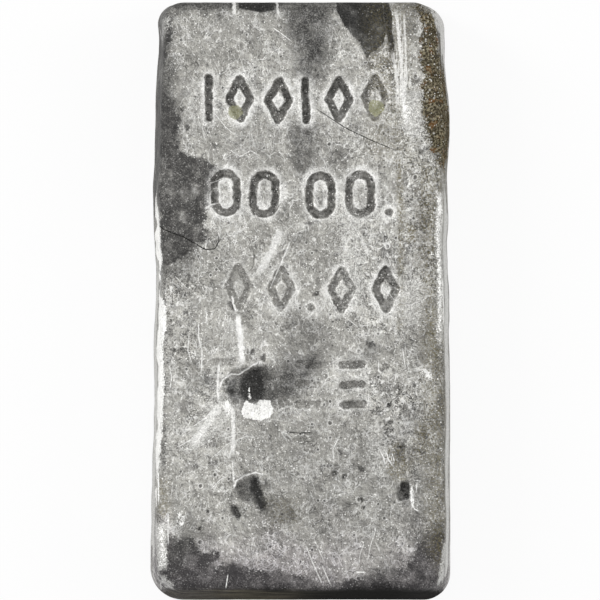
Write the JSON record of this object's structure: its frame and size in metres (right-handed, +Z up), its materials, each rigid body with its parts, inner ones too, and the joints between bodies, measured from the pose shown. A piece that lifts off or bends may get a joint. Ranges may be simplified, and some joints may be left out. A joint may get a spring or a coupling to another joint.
{
  "type": "indium bar",
  "caption": "Flat cast bar of soft white metal with flared walls, rounded corners and rows of plain struck marks, resting on its broad poured face.",
  "frame": {"origin": "middle of the broad poured face, which the bar lies on", "axes": "+X across the bar, +Y along it towards its narrower far end, +Z up, out of the struck mould face"},
  "size_m": [0.0408, 0.0814, 0.0137],
  "materials": {
    "indium": "dull cast soft metal, tarnished, scuffed and struck by hand"
  },
  "bodies": {
    "root": {"indium_bar": "indium"}
  },
  "joints": []
}
